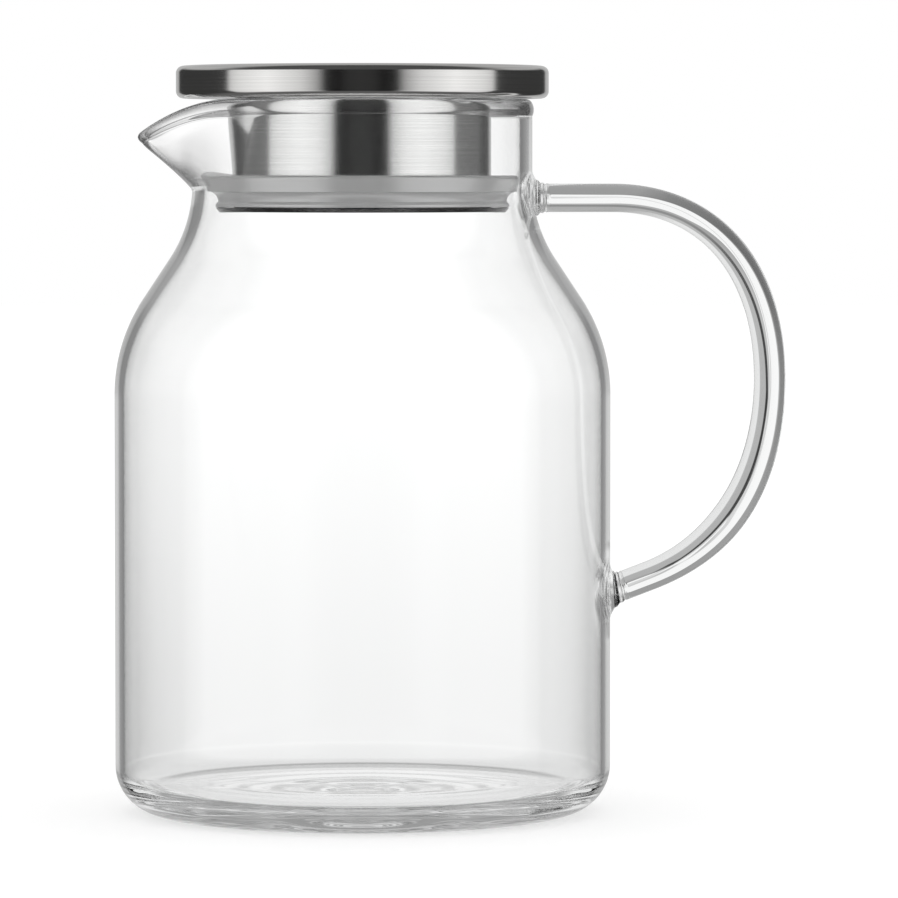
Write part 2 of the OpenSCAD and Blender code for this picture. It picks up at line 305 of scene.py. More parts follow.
def floor_wave(r):
    """Height of the floor's pushed-up middle and its ripples at a radius."""
    dome = FLOOR_DOME_H * (1 - smooth(r / FLOOR_DOME_R))
    fade = smooth(1 - r / FLOOR_RIPPLE_R)
    return dome + FLOOR_RIPPLE_H * fade * math.cos(2 * math.pi * r / FLOOR_RIPPLE_STEP)


def vessel_outside(rim_start):
    """Section of the vessel from the middle of the base up the outside to the rim."""
    flat = BODY_R - BASE_CORNER
    bead_z = RIM_MID_Z - RIM_ROUND * math.sin(math.radians(rim_start))
    points = [(0.0, BASE_RISE)]
    for i in range(1, UNDERSIDE_STEPS + 1):
        r = BASE_RISE_R * i / UNDERSIDE_STEPS
        points.append((r, base_rise(r)))
    points += run((BASE_RISE_R, 0.0), (flat, 0.0), STAND_STEPS)[:-1]
    points += arc((flat, BASE_CORNER), BASE_CORNER, -90, 0, CORNER_STEPS)
    points += run((BODY_R, BASE_CORNER), (BODY_R, WALL_TOP_Z), WALL_STEPS)[:-1]
    points += shoulder_side(0)
    points += run((NECK_R, NECK_Z), (NECK_R, bead_z), NECK_STEPS)[:-1]
    return points


def rim_bead(rim_start):
    """Section of the melted rim, from the neck's outside over to its bore."""
    points = []
    for i in range(RIM_STEPS + 1):
        a = math.radians(mix(-rim_start, 180, i / RIM_STEPS))
        points.append((RIM_MID_R + RIM_HALF * math.cos(a), RIM_MID_Z + RIM_ROUND * math.sin(a)))
    return points


def vessel_inside():
    """Section of the vessel from the middle of the floor up the inside to the rim."""
    bore = BODY_R - BODY_WALL
    flat = bore - FLOOR_CORNER
    corner_z = FLOOR_Z + FLOOR_CORNER
    points = []
    for i in range(FLOOR_STEPS):
        r = flat * i / FLOOR_STEPS
        points.append((r, FLOOR_Z + floor_wave(r)))
    points += arc((flat, corner_z), FLOOR_CORNER, -90, 0, FLOOR_CORNER_STEPS)
    points += run((bore, corner_z), (bore, WALL_TOP_Z), WALL_STEPS)[:-1]
    points += shoulder_side(1)
    points += run((BORE_R, NECK_Z), (BORE_R, RIM_MID_Z), NECK_STEPS)[:-1]
    return points


def vessel_profile():
    """Whole section of the vessel, up the outside, over the rim and down the inside, with the
    rows where rim and bore start."""
    rim_start = math.degrees(math.acos((NECK_R - RIM_MID_R) / RIM_HALF))
    outside, bead, inside = vessel_outside(rim_start), rim_bead(rim_start), vessel_inside()
    return outside + bead + inside[::-1], len(outside), len(outside) + len(bead) - 1


def neck_outside(z):
    """Radius of the neck's outside at a height, without the lip."""
    if z >= NECK_Z:
        return NECK_R
    return NECK_R + NECK_BEND - math.sqrt(max(0.0, NECK_BEND ** 2 - (NECK_Z - z) ** 2))


def lip_rise(up):
    """Share of the lip's reach at a share of its height: near straight, then easing upright."""
    if up < SPOUT_EASE:
        return SPOUT_EASE * (max(0.0, up) / SPOUT_EASE) ** SPOUT_RISE_POWER
    over = up - SPOUT_EASE
    return SPOUT_EASE + SPOUT_RISE_POWER * (over - over * over / (2 * (1 - SPOUT_EASE)))


def lip_share(a):
    """Share of the full lip at an angle off its tip, in degrees."""
    spread = (math.hypot(a, SPOUT_TIP_ANGLE) - SPOUT_TIP_ANGLE) / SPOUT_SPREAD
    return max(0.0, 1 - spread) ** SPOUT_POWER


def vessel_shape(inner_row):
    """Returns the function that carries the lip's points out and down and swells the wall inside
    the handle's roots."""
    def shape(r, z, a, row):
        x, y = math.cos(a), math.sin(a)
        off_tip = 180 - abs(math.degrees(math.atan2(y, x)))
        if z > SPOUT_Z and off_tip < SPOUT_HALF_ANGLE:
            share = lip_share(off_tip)
            up = (z - SPOUT_Z) / SPOUT_DEPTH
            depth = min(1.0, max(0.0, (neck_outside(z) - r) / NECK_WALL))
            r += (SPOUT_REACH + depth * (NECK_WALL - SPOUT_WALL)) * share * lip_rise(up)
            z -= SPOUT_DROP * share ** SPOUT_DROP_POWER * up
        elif row > inner_row and x > 0:
            for root_z, root_h, root_r in ROOT_SWELLS:
                away = math.hypot(r * y, z - root_z) / root_r
                r -= root_h * math.exp(-away * away)
        return (r * x, r * y, z)
    return shape


def vessel_object(slots, columns=288):
    """The vessel without its handle, each face in the slot of its glass: painted edge shade on the
    inside, the rim and most of the lip, the rest plain.
    """
    points, bead_row, inner_row = vessel_profile()
    verts, faces, owner = revolve(points, columns, vessel_shape(inner_row))
    face_slots = []
    for face, row in zip(faces, owner):
        x, y, z = (sum(verts[i][n] for i in face) / len(face) for n in range(3))
        off_tip = 180 - abs(math.degrees(math.atan2(y, x)))
        # Faces that get painted edge shade: the inside, the rim and most of the lip
        if row >= inner_row:
            face_slots.append(INNER)
        elif row >= bead_row:
            face_slots.append(RIM)
        else:
            lip = z > SPOUT_Z + LIP_SHADE_UP and off_tip < SPOUT_HALF_ANGLE - LIP_SHADE_IN
            face_slots.append(LIP if lip else OUTER)
    return make_object("vessel_skin", verts, faces, slots, face_slots)


# Handle rod


def bezier(c, t):
    """Point on a curve with four control points."""
    u = 1 - t
    return tuple(u ** 3 * c[0][n] + 3 * t * u * u * c[1][n] + 3 * t * t * u * c[2][n] + t ** 3 * c[3][n]
                 for n in (0, 1))


def bezier_way(c, t):
    """Unit vector along the curve."""
    u = 1 - t
    v = [u * u * (c[1][n] - c[0][n]) + 2 * t * u * (c[2][n] - c[1][n]) + t * t * (c[3][n] - c[2][n])
         for n in (0, 1)]
    size = math.hypot(*v)
    return v[0] / size, v[1] / size


def ripple(gap):
    """Height of the rings that the torch left round a root, at a distance from the vessel."""
    rings = RIPPLE_H * math.sin(2 * math.pi * gap / RIPPLE_STEP)
    return rings * smooth(gap) * smooth(RIPPLE_FADE - gap / 2)


def flare(gap):
    """Extra radius of the fused root at a distance from the glass, drawn on past its start."""
    if gap >= ROOT_FLARE:
        return 0.0
    if gap < FLARE_START:
        return flare(FLARE_START) + FLARE_START_SLOPE * (FLARE_START - gap)
    return ROOT_FLARE - math.sqrt(ROOT_FLARE ** 2 - (ROOT_FLARE - gap) ** 2)


def low_d(t):
    """Diameter of the rod along its lower curve."""
    if t < LOW_BEND_SHARE:
        return mix(HANDLE_FAR_D, HANDLE_LOW_D, smooth(t / LOW_BEND_SHARE))
    return mix(HANDLE_LOW_D, HANDLE_END_D, smooth((t - LOW_BEND_SHARE) / (1 - LOW_BEND_SHARE)))


def rod_curves():
    """Control points of the rod's upper and lower curve, in the XZ plane."""
    way = (math.cos(HANDLE_RISE), math.sin(HANDLE_RISE))
    far = (BODY_R + HANDLE_REACH, mix(HANDLE_LOW_Z, HANDLE_TOP_Z, FAR_SHARE))
    start = (NECK_R + HANDLE_TOP_RUN, HANDLE_TOP_Z)
    stop = (BODY_R + HANDLE_LOW_RUN * way[0], HANDLE_LOW_Z + HANDLE_LOW_RUN * way[1])
    upper = [start, (mix(start[0], far[0], TOP_PULL_SHARE), HANDLE_TOP_Z),
             (far[0], mix(far[1], HANDLE_TOP_Z, FAR_UP_SHARE)), far]
    lower = [far, (far[0], mix(far[1], HANDLE_LOW_Z, FAR_DOWN_SHARE)),
             (stop[0] + HANDLE_REACH * LOW_PULL_SHARE * way[0],
              stop[1] + HANDLE_REACH * LOW_PULL_SHARE * way[1]), stop]
    return upper, lower, way


def rod_rings(curve_steps=72, root_steps=60, straight_steps=7):
    """Centre, way, radius and uprightness of each ring of the rod, in the XZ plane."""
    upper, lower, way = rod_curves()
    gaps = [-ROOT_SINK, -ROOT_SINK / 2]
    sunk = len(gaps)
    gaps += [2 * ROOT_FLARE * (i / root_steps) ** ROOT_CROWDING for i in range(root_steps + 1)]
    rings = []
    for gap in gaps:
        r = HANDLE_TOP_D / 2 + flare(gap) + ripple(gap)
        rings.append(((NECK_R + gap, HANDLE_TOP_Z), (1, 0), r, 0))
    straight = HANDLE_TOP_RUN - gaps[-1]
    for i in range(1, straight_steps):
        x = NECK_R + gaps[-1] + straight * i / straight_steps
        rings.append(((x, HANDLE_TOP_Z), (1, 0), HANDLE_TOP_D / 2, 0))
    for i in range(curve_steps + 1):
        t = i / curve_steps
        r = mix(HANDLE_TOP_D, HANDLE_FAR_D, smooth(t)) / 2
        rings.append((bezier(upper, t), bezier_way(upper, t), r, 0))
    for i in range(1, curve_steps + 1):
        t = i / curve_steps
        rings.append((bezier(lower, t), bezier_way(lower, t), low_d(t) / 2, 0))
    for i, gap in reversed(list(enumerate(gaps))):
        centre = (BODY_R + gap * way[0], HANDLE_LOW_Z + gap * way[1])
        r = HANDLE_END_D / 2 + flare(gap) + ripple(gap)
        rings.append((centre, (-way[0], -way[1]), r, 1 - smooth((i - sunk) / root_steps)))
    return rings


def rod_object(slot, sides=56):
    """The solid rod of the handle, with both roots sunk into the vessel's glass."""
    verts, faces = [], []
    rings = rod_rings()
    for (x, z), way, r, upright in rings:
        n = (mix(way[1], 0, upright), mix(-way[0], 1, upright))
        size = math.hypot(*n)
        n = (n[0] / size, n[1] / size)
        for j in range(sides):
            b = 2 * math.pi * j / sides
            verts.append((x + r * math.cos(b) * n[0], r * math.sin(b), z + r * math.cos(b) * n[1]))
    for i in range(len(rings) - 1):
        for j in range(sides):
            k = (j + 1) % sides
            here, there = i * sides, (i + 1) * sides
            faces.append([here + j, here + k, there + k, there + j])
    last = (len(rings) - 1) * sides
    faces.append(list(range(sides))[::-1])
    faces.append([last + j for j in range(sides)])
    return make_object("handle_rod", verts, faces, [slot])


def outward(obj):
    """Turns a closed mesh's faces outwards."""
    bm = bmesh.new()
    bm.from_mesh(obj.data)
    bmesh.ops.recalc_face_normals(bm, faces=bm.faces)
    bm.to_mesh(obj.data)
    bm.free()
    return obj


def fuse(name, body, rod):
    """One solid of glass from the vessel and the rod."""
    rod.data.materials.clear()
    for slot in body.data.materials:
        rod.data.materials.append(slot)
    rod.data.polygons.foreach_set("material_index", [ROD] * len(rod.data.polygons))
    union = body.modifiers.new("fuse", "BOOLEAN")
    union.operation = "UNION"
    union.solver = "EXACT"
    union.object = rod
    graph = bpy.context.evaluated_depsgraph_get()
    mesh = bpy.data.meshes.new_from_object(body.evaluated_get(graph))
    mesh.name = name
    mesh.polygons.foreach_set("use_smooth", [True] * len(mesh.polygons))
    mesh.update()
    made = bpy.data.objects.new(name, mesh)
    bpy.context.scene.collection.objects.link(made)
    for old in (body, rod):
        bpy.data.objects.remove(old)
    return made


# Materials


class Nodes:
    """Short way to build a node tree."""

    def __init__(self, tree):
        self.tree = tree
        tree.nodes.clear()

    def add(self, kind, inputs=None, **settings):
        node = self.tree.nodes.new(kind)
        for key, value in settings.items():
            setattr(node, key, value)
        for key, value in (inputs or {}).items():
            self.feed(node.inputs[key], value)
        return node

    def feed(self, socket, value):
        if isinstance(value, bpy.types.NodeSocket):
            self.tree.links.new(value, socket)
        else:
            socket.default_value = value

    def math(self, operation, a, b=0.0, c=0.0):
        node = self.tree.nodes.new("ShaderNodeMath")
        node.operation = operation
        for socket, value in zip(node.inputs, (a, b, c)):
            self.feed(socket, value)
        return node.outputs[0]

    def length(self, a, b):
        squares = self.math("ADD", self.math("MULTIPLY", a, a), self.math("MULTIPLY", b, b))
        return self.math("SQRT", squares)

    def angle(self, a, b):
        """Angle of the direction (b, a), in degrees."""
        return self.math("MULTIPLY", self.math("ARCTAN2", a, b), 180 / math.pi)

    def ramp(self, value, stops, low, high):
        """A number from value by straight lines between (place, result) stops."""
        scaled = self.add("ShaderNodeMapRange", {"Value": value, "From Min": low, "From Max": high})
        node = self.add("ShaderNodeValToRGB", {"Fac": scaled.outputs[0]})
        elements = node.color_ramp.elements
        while len(elements) < len(stops):
            elements.new(1.0)
        for element, (place, result) in zip(elements, stops):
            element.position = (place - low) / (high - low)
            element.color = (result, result, result, 1)
        return node.outputs[0]

    def blend(self, share, a, b):
        """a where share is 0, b where it is 1, as numbers."""
        node = self.add("ShaderNodeMix", data_type="FLOAT")
        self.feed(node.inputs["Factor"], share)
        self.feed(node.inputs["A"], a)
        self.feed(node.inputs["B"], b)
        return node.outputs[0]


def new_material(name):
    material = bpy.data.materials.new(name)
    material.use_nodes = True
    return material, Nodes(material.node_tree)


GLASS_COLOR = (0.985, 0.99, 0.988, 1)
GLASS_GLOSS = (0.25, 0.25, 0.25, 1)
GLASS_IOR = 1.47
# Too little to see. It tells the world that light came out of the rod, and not out of a wall
ROD_ROUGHNESS = 0.03
# Painted edge shade: share of the glass colour kept on the inside wall, the rim and the lip, by how
# squarely each is seen
INNER_PAINTED_SHADE = [(0.0, 0.3), (0.05, 0.6), (0.11, 1.0), (0.25, 0.98), (0.33, 0.84), (0.42, 0.82),
                 (0.55, 0.8), (0.66, 0.86), (0.75, 1.0)]
RIM_PAINTED_SHADE = [(0.0, 0.06), (0.3, 0.1), (0.5, 0.2), (0.64, 0.45), (0.74, 1.0), (1.0, 1.0)]
LIP_PAINTED_SHADE = [(0.0, 0.05), (0.2, 0.08), (0.32, 0.16), (0.4, 0.5), (0.48, 0.95), (0.55, 1.0)]


def glass_surface(n, color, roughness=0.0):
    shader = n.add("ShaderNodeBsdfPrincipled", {
        "Base Color": color, "Roughness": roughness, "IOR": GLASS_IOR, "Transmission Weight": 1.0,
        "Specular Tint": GLASS_GLOSS})
    n.add("ShaderNodeOutputMaterial", {"Surface": shader.outputs[0]})


def clear_glass(name, roughness=0.0):
    material, n = new_material(name)
    glass_surface(n, GLASS_COLOR, roughness)
    return material


def edge_shaded_glass(name, share):
    """Glass whose colour is darkened where it is seen edge on, by share: painted shade for the dark
    lines along its edges.
    """
    material, n = new_material(name)
    facing = n.add("ShaderNodeLayerWeight", {"Blend": 0.5}).outputs["Facing"]
    square_on = n.math("SUBTRACT", 1.0, facing)
    # Painted shade: the glass colour follows how squarely the face is seen
    glass_surface(n, n.ramp(square_on, share, 0.0, 1.0))
    return material


STEEL_COLOR = (0.58, 0.58, 0.58)
CAP_COLOR = (0.62, 0.615, 0.605)
SLEEVE_COLOR = (0.68, 0.68, 0.675)
# How many brushed lines cross a metre, round a turned face and on a flat sheet
TURNED_LINES = 9000.0
SHEET_LINES = 5000.0
LINE_RUN_AROUND = 0.6
LINE_RUN_ALONG = 12.0
CAP_ROUGHNESS = 0.13
SLEEVE_ROUGHNESS = 0.15
PLATE_ROUGHNESS = 0.2
# Range of the noise that the brushing's tint and roughness follow
GRAIN_LOW = 0.3
GRAIN_HIGH = 0.7
# Share of its colour that steel keeps past dark_from
DARK_EDGE_SHADE = 0.12


def brushing(n, place, lines, density):
    """Noise drawn out into lines that go round the axis or along X."""
    xyz = n.add("ShaderNodeSeparateXYZ", {"Vector": place})
    x, y, z = xyz.outputs
    if lines == "around":
        angle = n.math("ARCTAN2", y, x)
        across = n.math("ADD", z, n.length(x, y))
        vector = n.add("ShaderNodeCombineXYZ", {"X": n.math("MULTIPLY", angle, LINE_RUN_AROUND),
                                                "Y": n.math("MULTIPLY", across, density), "Z": 0.0})
    else:
        vector = n.add("ShaderNodeCombineXYZ", {"X": n.math("MULTIPLY", x, LINE_RUN_ALONG),
                                                "Y": n.math("MULTIPLY", y, density),
                                                "Z": n.math("MULTIPLY", z, density)})
    return n.add("ShaderNodeTexNoise", {"Vector": vector.outputs[0], "Scale": 1.0, "Detail": 3.0,
                                        "Roughness": 0.6}).outputs["Fac"]


def steel(name, base, roughness, lines, density, dark_from=None):
    """Brushed steel. lines is the brushing's way: around or along. Past the radius dark_from its colour
    is darker."""
    material, n = new_material(name)
    place = n.add("ShaderNodeTexCoord").outputs["Object"]
    grain = brushing(n, place, lines, density)
    tint = n.add("ShaderNodeMapRange", {"Value": grain, "From Min": GRAIN_LOW, "From Max": GRAIN_HIGH,
                                        "To Min": 0.84, "To Max": 1.08})
    shade = tint.outputs[0]
    if dark_from:
        size = n.add("ShaderNodeVectorMath", {0: place, 1: (1, 1, 0)}, operation="MULTIPLY").outputs[0]
        radius = n.add("ShaderNodeVectorMath", {0: size}, operation="LENGTH").outputs["Value"]
        edge = n.math("GREATER_THAN", radius, dark_from * MM)
        shade = n.math("MULTIPLY", shade, n.blend(edge, 1.0, DARK_EDGE_SHADE))
    color = n.add("ShaderNodeVectorMath", {0: base, "Scale": shade}, operation="SCALE")
    rough = n.add("ShaderNodeMapRange", {"Value": grain, "From Min": GRAIN_LOW, "From Max": GRAIN_HIGH,
                                         "To Min": roughness * 0.8, "To Max": roughness * 1.25})
    bump = n.add("ShaderNodeBump", {"Height": grain, "Strength": 0.06, "Distance": 0.00002})
    shader = n.add("ShaderNodeBsdfPrincipled", {
        "Base Color": color.outputs[0], "Metallic": 1.0, "Roughness": rough.outputs[0],
        "Normal": bump.outputs[0]})
    n.add("ShaderNodeOutputMaterial", {"Surface": shader.outputs[0]})
    return material


SILICONE_COLOR = (0.6, 0.6, 0.6, 1)
SILICONE_IOR = 2.35


def silicone():
    material, n = new_material("grey_silicone")
    place = n.add("ShaderNodeTexCoord").outputs["Object"]
    dust = n.add("ShaderNodeTexNoise", {"Vector": place, "Scale": 900.0, "Detail": 2.0}).outputs["Fac"]
    rough = n.add("ShaderNodeMapRange", {"Value": dust, "To Min": 0.16, "To Max": 0.3})
    bump = n.add("ShaderNodeBump", {"Height": dust, "Strength": 0.05, "Distance": 0.00003})
    shader = n.add("ShaderNodeBsdfPrincipled", {
        "Base Color": SILICONE_COLOR, "Roughness": rough.outputs[0], "IOR": SILICONE_IOR,
        "Normal": bump.outputs[0]})
    n.add("ShaderNodeOutputMaterial", {"Surface": shader.outputs[0]})
    return material


# Lid

# A rounding takes at most this share of the side beside it
MOST_OF_SIDE = 0.49


def rounded(corners, steps=6):
    """Outline through (r, z, fillet radius) corners of a closed section."""
    points = []
    count = len(corners)
    for i, (r, z, f) in enumerate(corners):
        here = Vector((r, z))
        before = Vector(corners[i - 1][:2])
        after = Vector(corners[(i + 1) % count][:2])
        if f <= 0:
            points.append((r, z))
            continue
        u, v = (before - here).normalized(), (after - here).normalized()
        half = math.acos(max(-1.0, min(1.0, u.dot(v)))) / 2
        reach_in = min(f / math.tan(half), (before - here).length * MOST_OF_SIDE,
                       (after - here).length * MOST_OF_SIDE)
        radius = reach_in * math.tan(half)
        centre = here + (u + v).normalized() * (radius / math.sin(half))
        a, b = here + u * reach_in - centre, here + v * reach_in - centre
        turn = math.atan2(a.x * b.y - a.y * b.x, a.dot(b))
        start = math.atan2(a.y, a.x)
        for k in range(steps + 1):
            w = start + turn * k / steps
            points.append((centre.x + radius * math.cos(w), centre.y + radius * math.sin(w)))
    return points


def held(outline, margin=0.12):
    """The outline with a point close to each end of its long edges, so shading stays flat there."""
    points = []
    for i, (r, z) in enumerate(outline):
        after = outline[(i + 1) % len(outline)]
        points.append((r, z))
        length = math.dist((r, z), after)
        if length > 5 * margin and max(r, after[0]) > 0.1:
            for share in (margin / length, 1 - margin / length):
                points.append((mix(r, after[0], share), mix(z, after[1], share)))
    return points


def lathe(name, outline, slot, columns=256):
    """A turned piece with this outline as its section."""
    verts, faces = revolve(held(outline), columns)[:2]
    return outward(make_object(name, verts, faces, [slot], crease=SHARP))


def dress(piece, node, body):
    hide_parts(node)
    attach(piece, body)


def cap_piece():
    """Pressed disc whose side turns down and in under itself."""
    r, low, high = reach("lid_cap"), bottom("lid_cap"), top("lid_cap")
    fold_r, inner = r - CAP_EDGE, r - SHEET
    outline = ([(0.0, high)] + run((0.0, high), (fold_r, high), CAP_TOP_STEPS)[:-1]
               + arc((fold_r, high - CAP_EDGE), CAP_EDGE, 90, 0, CAP_EDGE_STEPS)
               + run((r, high - CAP_EDGE), (r, low + CAP_EDGE), CAP_SIDE_STEPS)[:-1]
               + arc((fold_r, low + CAP_EDGE), CAP_EDGE, 0, -90, CAP_EDGE_STEPS)
               + arc((fold_r, low + CAP_EDGE), CAP_EDGE - SHEET, -90, 0, CAP_FOLD_STEPS)
               + run((inner, low + CAP_EDGE), (inner, high - CAP_EDGE), CAP_INSIDE_STEPS)[:-1]
               + arc((fold_r, high - CAP_EDGE), CAP_EDGE - SHEET, 0, 90, CAP_FOLD_STEPS)
               + run((fold_r, high - SHEET), (0.0, high - SHEET), CAP_UNDER_STEPS))
    look = steel("cap_steel", CAP_COLOR, CAP_ROUGHNESS, "around", TURNED_LINES)
    dress(lathe("cap", outline, look), "lid_cap", "lid")


def underplate_piece():
    """Ring-shaped plate that closes the cap from below."""
    bore, r = SLEEVE_R + WELD_GAP, reach("lid_underplate")
    low = bottom("lid_cap")
    high = low + SHEET
    outline = rounded([(bore, low, 0), (r, low, SOFT_EDGE), (r, high, 0), (bore, high, 0)])
    look = steel("plate_steel", STEEL_COLOR, PLATE_ROUGHNESS, "along", SHEET_LINES)
    dress(lathe("underplate", outline, look), "lid_underplate", "lid")


def sleeve_piece():
    """Brushed tube that hangs in the neck from its flange inside the cap."""
    low, cap_z = bottom("lid_sleeve"), bottom("lid_cap")
    bore, flange_r = SLEEVE_R - SHEET, reach("lid_sleeve")
    outline = rounded([(bore, low, 0), (SLEEVE_R, low, FINE_EDGE), (SLEEVE_R, cap_z + SHEET, 0),
                       (flange_r, cap_z + SHEET, FINE_EDGE), (flange_r, cap_z + 2 * SHEET, FINE_EDGE),
                       (bore, cap_z + 2 * SHEET, SOFT_EDGE)])
    look = steel("sleeve_steel", SLEEVE_COLOR, SLEEVE_ROUGHNESS, "around", TURNED_LINES)
    dress(lathe("sleeve", outline, look), "lid_sleeve", "lid")


def base_plate_piece():
    """Plate that closes the sleeve's lower end, with a locating ring inside the sleeve."""
    r, low, ring_top = reach("lid_base_plate"), bottom("lid_base_plate"), top("lid_base_plate")
    high = bottom("lid_sleeve")
    ring_r = SLEEVE_R - SHEET - WELD_GAP
    corners = [(NEAR_AXIS, low, 0), (r - PLATE_TAPER, low, PLATE_LOW_EDGE), (r, high, PLATE_TOP_EDGE),
               (ring_r, high, 0), (ring_r, ring_top, FINE_EDGE), (ring_r - SHEET, ring_top, FINE_EDGE),
               (ring_r - SHEET, high, 0), (NEAR_AXIS, high, 0)]
    outline = [(0.0, low)] + rounded(corners) + [(0.0, high)]
    look = steel("base_plate_steel", STEEL_COLOR, PLATE_ROUGHNESS, "along", SHEET_LINES,
                 r - PLATE_DARK_EDGE)
    dress(lathe("base_plate", outline, look), "lid_base_plate", "lid")


def seal_piece():
    """Silicone ring: a wide lip over a waist and a thin foot."""
    low, high = bottom("seal_ring"), top("seal_ring")
    lip_r = reach("seal_ring")
    lip_z = high - SEAL_LIP_H
    foot_top = low + 2 * SEAL_FOOT_H
    bend = min(lip_r - SEAL_TAPER - SEAL_WAIST_R, lip_z - foot_top)
    foot_in, lip_in = SEAL_FOOT_R - SEAL_FOOT_EDGE, lip_r - SEAL_TAPER - SEAL_LIP_EDGE
    top_in, top_low = lip_r - SEAL_TOP_EDGE, high - SEAL_TOP_EDGE
    outline = ([(SEAL_BORE_R, low)] + run((SEAL_BORE_R, low), (foot_in, low), SEAL_FOOT_STEPS)
               + arc((foot_in, low + SEAL_FOOT_EDGE), SEAL_FOOT_EDGE, -90, 0, SEAL_EDGE_STEPS)
               + [(SEAL_FOOT_R, low + SEAL_FOOT_H), (SEAL_WAIST_R, foot_top)]
               + arc((SEAL_WAIST_R + bend, lip_z - bend), bend, 180, 90, SEAL_WAIST_STEPS)
               + arc((lip_in, lip_z + SEAL_LIP_EDGE), SEAL_LIP_EDGE, -90, 0, SEAL_EDGE_STEPS)
               + arc((top_in, top_low), SEAL_TOP_EDGE, 0, 90, SEAL_TOP_EDGE_STEPS)
               + run((top_in, high), (SEAL_BORE_R, high), SEAL_TOP_STEPS))
    dress(lathe("seal", outline, silicone()), "seal_ring", "ring")


def glass_piece():
    """Vessel and handle, fused into one solid of glass."""
    # The inside, rim and lip glass carry painted edge shade
    slots = [clear_glass("clear_glass"), edge_shaded_glass("glass_inside_painted_shade", INNER_PAINTED_SHADE),
             clear_glass("rod_glass", ROD_ROUGHNESS),
             edge_shaded_glass("glass_rim_painted_shade", RIM_PAINTED_SHADE), edge_shaded_glass("glass_lip_painted_shade", LIP_PAINTED_SHADE)]
    body = outward(vessel_object(slots))
    rod = outward(rod_object(slots[2]))
    glass = fuse("pitcher_glass", body, rod)
    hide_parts("glass_body", "glass_handle")
    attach(glass, "vessel")


# Studio

WHITE = 1.0
FLOOR_COLOR = (0.5, 0.5, 0.5, 1)
FLOOR_LIGHT = 0.58
# Half the floor's side and its depth under the base, in metres
FLOOR_SIDE = 6.0
FLOOR_DROP = 0.00005
LENS = 236.0
SENSOR = 36.0
CLIP_START = 0.05
CLIP_END = 60.0
CAMERA_PLACE = (0.0244, -1.662, 0.1827)
CAMERA_AIM = Vector((0.0244, 0.0, 0.1027))
# Clear glass and polished steel send light round many times before it is lost
ALL_BOUNCES = 160
GLOSSY_BOUNCES = 128
GLASS_BOUNCES = 32
CLEAR_BOUNCES = 16
# Limits for Light Path's counts: more than none, than one and than two
NONE, ONE, TWO = 0.5, 1.5, 2.5
# Faces that light crosses on its way through the neck's wall to the lid and back
WALL_AND_BACK = 4.0


def degrees_off(n, vector):
    """Azimuth from +Y towards +X and elevation of a direction, both in degrees. The viewer of the
    photograph stands on the -Y side."""
    xyz = n.add("ShaderNodeSeparateXYZ", {"Vector": vector})
    x, y, z = xyz.outputs
    return n.angle(x, y), n.angle(z, n.length(x, y))


# Brightness of the room for steel, by the angle round it from the viewer's side
METAL_ROOM = [(0, 0.045), (8, 0.04), (14, 0.012), (22, 0.02), (27, 0.55), (37, 1.0), (60, 1.42),
              (80, 1.15), (88.5, 0.95), (91.5, 0.06), (154, 0.05), (158, 0.55), (180, 0.6)]
# Share of a plain ceiling in what steel meets, by height, and its brightness from the viewer's side
METAL_CEILING = [(-90, 0.0), (10, 0.0), (18, 1.0), (90, 1.0)]
METAL_CEILING_LEVEL = [(0, 0.1), (84, 0.1), (112, 0.6), (180, 0.6)]
# Share of the dim table in what steel meets, by height, and its brightness
METAL_BELOW = [(-90, 1.0), (-40, 1.0), (-28, 0.0), (90, 0.0)]
METAL_BELOW_LEVEL = 0.17
# The room for the sleeve and the base plate, which stand behind the neck's glass
INSIDE_ROOM = [(0, 0.045), (8, 0.04), (14, 0.012), (22, 0.02), (27, 0.85), (38, 1.25), (55, 1.4),
               (75, 1.2), (87, 0.95), (91, 0.24), (124, 0.2), (130, 0.1), (148, 0.12), (156, 0.6),
               (180, 0.9)]

# Seen through the solid rod: a white panel, grey along one edge, with a dark line beyond it, then
# grey, then the room. Each hangs on the turn about the view's axis: 0 right, 90 up, -90 down.
# Places are in degrees off that axis
ROD_AXIS_AZIMUTH = 2.7
ROD_AXIS_ELEVATION = -2.7
SIDE_WINDOW = 70.0
ROD_WHITE = 0.95
# Widths over which one field runs into the next, in degrees
LIGHT_FADE = 1.5
PANEL_FADE = 1.0
LINE_FADE = 1.2
GREY_FADE = 3.0
# Where the panel ends, how wide the line is and how bright
ROD_PANEL_EDGE = [(-180, 23.0), (-164, 19.0), (-140, 12.5), (-116, 9.0), (-92, 3.0), (-62, 1.0),
                  (-52, 0.4), (-40, 1.5), (-16, 2.8), (0, 2.3), (16, 6.0), (28, 9.1), (40, 12.5),
                  (52, 15.0), (64, 16.0), (88, 21.5), (104, 22.0), (118, 24.0), (140, 24.0),
                  (180, 23.0)]
ROD_LINE_WIDTH = [(-180, 4.0), (-84, 1.0), (-62, 5.0), (-52, 4.2), (-40, 4.8), (-20, 5.2), (0, 5.6),
                  (16, 6.8), (28, 7.7), (52, 8.0), (90, 8.0), (104, 1.0), (180, 4.0)]
ROD_LINE = [(-180, 0.4), (-150, 0.36), (-130, 0.2), (-100, 0.25), (-84, 0.25), (-62, 0.07),
            (0, 0.04), (28, 0.08), (40, 0.12), (52, 0.22), (64, 0.27), (75, 0.27), (100, 0.26),
            (120, 0.32), (180, 0.4)]
